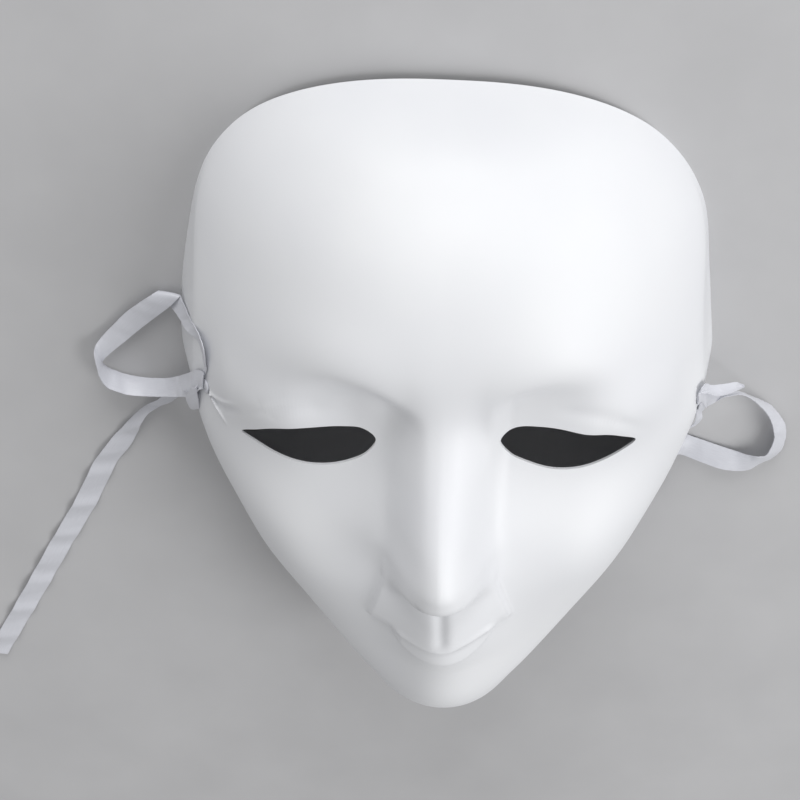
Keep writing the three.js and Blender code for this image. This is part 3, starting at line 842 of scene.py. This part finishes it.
def square_to_ring(u, v):
    ring = np.maximum(np.abs(u), np.abs(v))
    level = np.abs(u) >= np.abs(v)
    safe_u, safe_v = np.where(u == 0, 1, u), np.where(v == 0, 1, v)
    turn = np.where(level, pi / 4 * v / safe_u + pi * (u < 0), pi / 2 - pi / 4 * u / safe_v + pi * (v < 0))
    return ring, np.where(ring == 0, 0, turn)


def face_sheet(u, v):
    ring, angle = square_to_ring(u, v)
    share = np.clip(ring / (1 - WALL_SHARE), 0, 1)
    spread = share * (1 - CROWDING * (1 - share**2)) * edge_radius(angle)
    x, y = spread * np.cos(angle), HUB_Y + spread * np.sin(angle)
    down = np.clip((ring - (1 - WALL_SHARE)) / WALL_SHARE, 0, 1)
    out = flare(x, y) * down
    z = face_height(x, y) + (rim_height(y) - crease_height(y)) * down
    x, y = x + out * np.cos(angle), y + out * np.sin(angle)
    return np.stack([x, y - TOP_SLANT * x * ramp(40, TOP_Y, y), z], axis=1)


face = make_sheet("mask_face", FACE_CELLS, FACE_CELLS, face_sheet)
print("face sheet spans", (points_of(face).max(0) - points_of(face).min(0)).round(3))

# %% [markdown]
# ### The wall
#
# The sheet is given its thickness of one millimetre inwards, so that the outside keeps its shape. The
# trimmed edge at the sides must stand flat on the table, so what would dip below it is levelled.

# %% Thicken the sheet
WALL_THICKNESS = 1.0
apply_modifier(face, "SOLIDIFY", thickness=WALL_THICKNESS / 1000, offset=-1)
levelled = points_of(face)
levelled[:, 2] = np.maximum(levelled[:, 2], 0)
move_points(face, levelled)
print("faces after thickening:", len(face.data.polygons))

# %% [markdown]
# ### Eye openings and tie holes
#
# The openings are punched through the finished sheet, as on the real mask, so each is a boolean cut.
# An eye cutter starts as a filled circle whose points are moved onto a closed curve through a few
# places on the eye's edge, and is then extruded upwards through the face. To close the curve smoothly it
# runs past its own start, and the doubled ends are dropped. The two eyes are not quite alike, so each has
# an edge of its own.

# %% Cutters for the eyes and the tie holes
EYE_STEPS = 16
CUTTER_FLOOR = 20
CUTTER_HEIGHT = 100
TIE_HOLE_RADIUS = 2.6
TIE_HOLE_DEPTH = 12
TIE_HOLE_SIDES = 40
LEFT_EYE_EDGE = [
    (-65.4, -17.6), (-60.3, -12.8), (-54.3, -8.4), (-47.3, -5.9), (-39.3, -4.7), (-31.3, -4.3),
    (-25.1, -4.7), (-21.0, -8.6), (-24.3, -14.4), (-32.3, -18.8), (-42.3, -21.0), (-52.3, -20.7),
    (-60.3, -19.0),
]
RIGHT_EYE_EDGE = [
    (63.6, -13.8), (58, -8.8), (53.6, -6.4), (46, -4.8), (38.6, -3.0), (31, -2.2), (23.6, -2.3),
    (19.0, -6.0), (22, -12.4), (28.2, -16.2), (36, -19.1), (43.5, -19.9), (51, -19.1), (58.4, -16.9),
]


def eye_cutter(edge):
    closed = edge[-2:] + edge + edge[:2]
    outline = through_points([(x, y, CUTTER_FLOOR) for x, y in closed], per_gap=EYE_STEPS)
    outline = outline[2 * EYE_STEPS:-(EYE_STEPS + 1)]
    deselect_all()
    bpy.ops.mesh.primitive_circle_add(vertices=len(outline), radius=1, fill_type="NGON")
    cutter = bpy.context.object
    move_points(cutter, to_frame(outline))
    bpy.ops.object.mode_set(mode="EDIT")
    bpy.ops.mesh.select_all(action="SELECT")
    bpy.ops.mesh.extrude_region_move(TRANSFORM_OT_translate={"value": (0, 0, CUTTER_HEIGHT / 1000)})
    bpy.ops.mesh.select_all(action="SELECT")
    bpy.ops.mesh.normals_make_consistent(inside=False)
    bpy.ops.object.mode_set(mode="OBJECT")
    return cutter


def hole_cutter(hole, direction):
    deselect_all()
    bpy.ops.mesh.primitive_cylinder_add(vertices=TIE_HOLE_SIDES, radius=TIE_HOLE_RADIUS / 1000,
                                        depth=TIE_HOLE_DEPTH / 1000)
    cutter = bpy.context.object
    cutter.data.transform(Matrix.Translation(Vector(to_frame(hole))) @ turn_to(direction))
    return cutter


cutters = [eye_cutter(edge) for edge in (LEFT_EYE_EDGE, RIGHT_EYE_EDGE)]
cutters.append(hole_cutter(LEFT_HOLE, LEFT_HOLE_LOOKS))
cutters.append(hole_cutter(RIGHT_HOLE, RIGHT_HOLE_LOOKS))
print("cutters have", [len(cutter.data.vertices) for cutter in cutters], "points")

# %% Cut the openings
for cutter in cutters:
    apply_modifier(face, "BOOLEAN", operation="DIFFERENCE", object=cutter, solver="EXACT")
    bpy.data.objects.remove(cutter, do_unlink=True)
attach(face, "root")
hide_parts("mask_shell")
print("faces after cutting:", len(face.data.polygons))

# %% [markdown]
# ### Creases at the left temple
#
# The pull of the ribbon has creased the plastic beside its hole. Two sharp little folds fan out from
# the hole with a dent between them. The grid is too coarse there, so that patch alone is subdivided
# first, and the folds are then pushed up along lines through a few places. The openings are cut before
# this, because the boolean fails on a sheet with such a patch.

# %% Lines of the two folds
UPPER_FOLD = [(-76.4, -11.6), (-74.4, -10.9), (-71.6, -8.9), (-69.0, -6.6), (-66.0, -4.4)]
LOWER_FOLD = [
    (-77.4, -11.0), (-76.3, -12.9), (-74.5, -14.6), (-72.9, -16.2), (-71.4, -18.4), (-70.6, -20.4),
]
UPPER_FOLD_HEIGHT = 1.3
LOWER_FOLD_HEIGHT = 1.1
DENT_DEPTH = 1.7
FOLD_WIDTH = 0.6
DENT_WIDTH = 1.9
DENT_BELOW = 2.2


def distance_to_line(x, y, line):
    """Distance to a line through a few places, below 0 on its right-hand side, and the share along it."""
    nearest, side, share = np.full_like(x, 99.0), np.ones_like(x), np.zeros_like(x)
    for i, (start, end) in enumerate(zip(line, line[1:])):
        start, run = np.array(start), np.subtract(end, start)
        t = np.clip(((x - start[0]) * run[0] + (y - start[1]) * run[1]) / run.dot(run), 0, 1)
        dx, dy = x - start[0] - t * run[0], y - start[1] - t * run[1]
        closer = np.hypot(dx, dy) < nearest
        nearest = np.where(closer, np.hypot(dx, dy), nearest)
        side = np.where(closer, np.sign(run[0] * dy - run[1] * dx), side)
        share = np.where(closer, (i + t) / (len(line) - 1), share)
    return nearest * side, share


def temple_creases(x, y):
    above, along_upper = distance_to_line(x, y, UPPER_FOLD)
    beside, along_lower = distance_to_line(x, y, LOWER_FOLD)
    upper = UPPER_FOLD_HEIGHT * bell(above, 0, FOLD_WIDTH) * ramp(1.0, 0.4, along_upper)
    lower = LOWER_FOLD_HEIGHT * bell(beside, 0, FOLD_WIDTH) * ramp(1.0, 0.5, along_lower)
    dent = DENT_DEPTH * bell(above, -DENT_BELOW, DENT_WIDTH) * ramp(1.0, 0.4, along_upper)
    return upper + lower - dent * ramp(0, 0.8, beside)


crest_x, crest_y = np.array([UPPER_FOLD[1], LOWER_FOLD[2]]).T
print("height of the two folds near the hole:", temple_creases(crest_x, crest_y).round(2))

# %% Crease the left temple
FINE_X = (-82, -64)
FINE_Y = (-22, 2)
FINE_ABOVE = 27
FOLDS_BEYOND = -60
FOLDS_ABOVE = 24


def crease_temple(piece):
    pick(piece)
    x, y, z = (points_of(piece) * 1000 + LAYOUT_CENTRE).T
    near = (x > FINE_X[0]) & (x < FINE_X[1]) & (y > FINE_Y[0]) & (y < FINE_Y[1]) & (z > FINE_ABOVE)
    bpy.ops.object.mode_set(mode="EDIT")
    bpy.ops.mesh.select_mode(type="FACE")
    bpy.ops.mesh.select_all(action="DESELECT")
    bpy.ops.object.mode_set(mode="OBJECT")
    for polygon in piece.data.polygons:
        polygon.select = all(near[i] for i in polygon.vertices)
    bpy.ops.object.mode_set(mode="EDIT")
    bpy.ops.mesh.subdivide(number_cuts=2)
    bpy.ops.object.mode_set(mode="OBJECT")
    x, y, z = (points_of(piece) * 1000 + LAYOUT_CENTRE).T
    patch = (x < FOLDS_BEYOND) & (z > FOLDS_ABOVE)
    z = z + np.where(patch, temple_creases(x, y), 0)
    move_points(piece, to_frame(np.stack([x, y, z], axis=1)))


crease_temple(face)
smooth_by_angle(face, 60)
print("faces with the creased patch:", len(face.data.polygons))

# %% [markdown]
# ## Finishes
#
# Both finishes are small node networks. A noise gives a value that drifts over the surface, and the
# helpers below turn such a value into a colour, a roughness or a bump. Most of a noise lies between 0.3
# and 0.7, so that range is spread over the two tones or the two roughnesses of a finish.

# %% Helpers for the materials
NOISE_RANGE = (0.3, 0.7)


def new_material(name):
    material = bpy.data.materials.new(name)
    material.use_nodes = True
    nodes = material.node_tree.nodes
    return material, nodes, material.node_tree.links, nodes["Principled BSDF"]


def noise_node(nodes, links, vector, scale, detail=3):
    node = nodes.new("ShaderNodeTexNoise")
    node.inputs["Scale"].default_value = scale
    node.inputs["Detail"].default_value = detail
    links.new(vector, node.inputs["Vector"])
    return node.outputs["Fac"]


def colour_ramp(nodes, links, value, tones):
    node = nodes.new("ShaderNodeValToRGB")
    for element, position, tone in zip(node.color_ramp.elements, NOISE_RANGE, tones):
        element.position = position
        element.color = (*tone, 1)
    links.new(value, node.inputs["Fac"])
    return node.outputs["Color"]


def map_range(nodes, links, value, low, high):
    node = nodes.new("ShaderNodeMapRange")
    for key, number in zip(("From Min", "From Max", "To Min", "To Max"), (*NOISE_RANGE, low, high)):
        node.inputs[key].default_value = number
    links.new(value, node.inputs["Value"])
    return node.outputs["Result"]


def bump_node(nodes, links, height, strength, distance, normal=None):
    node = nodes.new("ShaderNodeBump")
    node.inputs["Strength"].default_value = strength
    node.inputs["Distance"].default_value = distance
    links.new(height, node.inputs["Height"])
    if normal is not None:
        links.new(normal, node.inputs["Normal"])
    return node.outputs["Normal"]


print("materials before ours:", [material.name for material in bpy.data.materials])

# %% [markdown]
# ### Moulded plastic
#
# The plastic is white with a faint cool cast and a soft sheen. Vacuum forming leaves a fine orange
# peel, a very slight sag and a little unevenness in tone and in gloss. An image could hold all that, but
# a few layers of noise on the piece's own coordinates do it at any size.

# %% White plastic
PLASTIC_TONES = ((0.80, 0.81, 0.84), (0.84, 0.85, 0.87))
PLASTIC_ROUGHNESS = (0.42, 0.52)
TONE_SCALE = 18
GLOSS_SCALE = 60
PEEL_SCALE = 900
SAG_SCALE = 45


def make_plastic():
    material, nodes, links, shader = new_material("moulded_white_plastic")
    place = nodes.new("ShaderNodeTexCoord").outputs["Object"]
    tone = noise_node(nodes, links, place, TONE_SCALE, 2)
    links.new(colour_ramp(nodes, links, tone, PLASTIC_TONES), shader.inputs["Base Color"])
    gloss = noise_node(nodes, links, place, GLOSS_SCALE, 4)
    links.new(map_range(nodes, links, gloss, *PLASTIC_ROUGHNESS), shader.inputs["Roughness"])
    peel = noise_node(nodes, links, place, PEEL_SCALE, 2)
    sag = noise_node(nodes, links, place, SAG_SCALE, 1)
    soft = bump_node(nodes, links, sag, strength=0.25, distance=0.0004)
    bumpy = bump_node(nodes, links, peel, strength=0.12, distance=0.00008, normal=soft)
    links.new(bumpy, shader.inputs["Normal"])
    shader.inputs["Specular IOR Level"].default_value = 0.4
    return material


face.data.materials.clear()
face.data.materials.append(make_plastic())
print("the face is", face.data.materials[0].name)

# %% [markdown]
# ### Satin
#
# The satin is a shade greyer than the plastic. Its threads float over each other in long fine lines along
# the ribbon. The noise reads the ribbon's own UV map, which is far longer one way than the other, so
# the same scale both ways draws every spot out into such a line. The knots lost their maps in the
# remesh and keep one even tone.

# %% White satin
SATIN_TONES = ((0.60, 0.61, 0.66), (0.68, 0.69, 0.74))
SATIN_ROUGHNESS = (0.32, 0.44)
FLOATS = (60, 60, 1)


def make_satin():
    material, nodes, links, shader = new_material("white_satin")
    uv = nodes.new("ShaderNodeTexCoord").outputs["UV"]
    stretch = nodes.new("ShaderNodeMapping")
    stretch.inputs["Scale"].default_value = FLOATS
    links.new(uv, stretch.inputs["Vector"])
    floats = noise_node(nodes, links, stretch.outputs["Vector"], 1.0, 4)
    links.new(colour_ramp(nodes, links, floats, SATIN_TONES), shader.inputs["Base Color"])
    links.new(map_range(nodes, links, floats, *SATIN_ROUGHNESS), shader.inputs["Roughness"])
    links.new(bump_node(nodes, links, floats, strength=0.25, distance=0.00006), shader.inputs["Normal"])
    shader.inputs["Sheen Weight"].default_value = 0.15
    return material


satin = make_satin()
for piece in (left_ribbon, left_stub, left_knot, right_ribbon, right_end, right_stub, right_knot):
    piece.data.materials.clear()
    piece.data.materials.append(satin)
    print(piece.name, "is", satin.name)

# %% [markdown]
# ## Table top
#
# The mask lies on a plain pale table, far wider than the mask itself. It is not hung on the root,
# because it doesn't belong to the object.

# %% Table top
TABLE_SIDE = 6
TABLE_TONES = ((0.50, 0.50, 0.51), (0.53, 0.53, 0.54))
GRAIN_SCALE = 30


def make_table():
    deselect_all()
    bpy.ops.mesh.primitive_plane_add(size=TABLE_SIDE)
    table = bpy.context.object
    table.name = "table_top"
    material, nodes, links, shader = new_material("pale_table")
    place = nodes.new("ShaderNodeTexCoord").outputs["Object"]
    grain = noise_node(nodes, links, place, GRAIN_SCALE)
    links.new(colour_ramp(nodes, links, grain, TABLE_TONES), shader.inputs["Base Color"])
    shader.inputs["Roughness"].default_value = 0.8
    table.data.materials.append(material)
    return table


table_top = make_table()
print(table_top.name, "is", TABLE_SIDE, "m wide")

# %% [markdown]
# ## Light
#
# A low broad lamp beyond the forehead and a second one at the right, with an even glow from all around,
# give the gentle grey on the left cheek and beside the nose. One lamp alone would leave that side too
# dark, and the glow alone would leave the face flat.

# %% Lamps
LAMP_DISTANCE = 1.5
LAMP_SIZE = 1.0
LAMP_AIM = Vector((0, 0, 0.05))
FOREHEAD_POWER = 12.6
SIDE_POWER = 10.7
GLOW = 0.45


def lamp(name, direction, power):
    light = bpy.data.lights.new(name, "AREA")
    light.shape = "DISK"
    light.size = LAMP_SIZE
    light.energy = power
    holder = bpy.data.objects.new(name, light)
    looks = Vector(direction).normalized()
    holder.location = looks * LAMP_DISTANCE + LAMP_AIM
    holder.rotation_euler = looks.to_track_quat("Z", "Y").to_euler()
    bpy.context.collection.objects.link(holder)


lamp("forehead_lamp", (0, 0.97, 0.26), FOREHEAD_POWER)
lamp("side_lamp", (0.75, -0.13, 0.64), SIDE_POWER)
world = bpy.data.worlds.new("even_glow")
world.use_nodes = True
background = world.node_tree.nodes["Background"]
background.inputs["Color"].default_value = (1, 1, 1, 1)
background.inputs["Strength"].default_value = GLOW
bpy.context.scene.world = world
bpy.context.scene.view_settings.view_transform = "Standard"
print("lamps:", [light.name for light in bpy.data.lights])
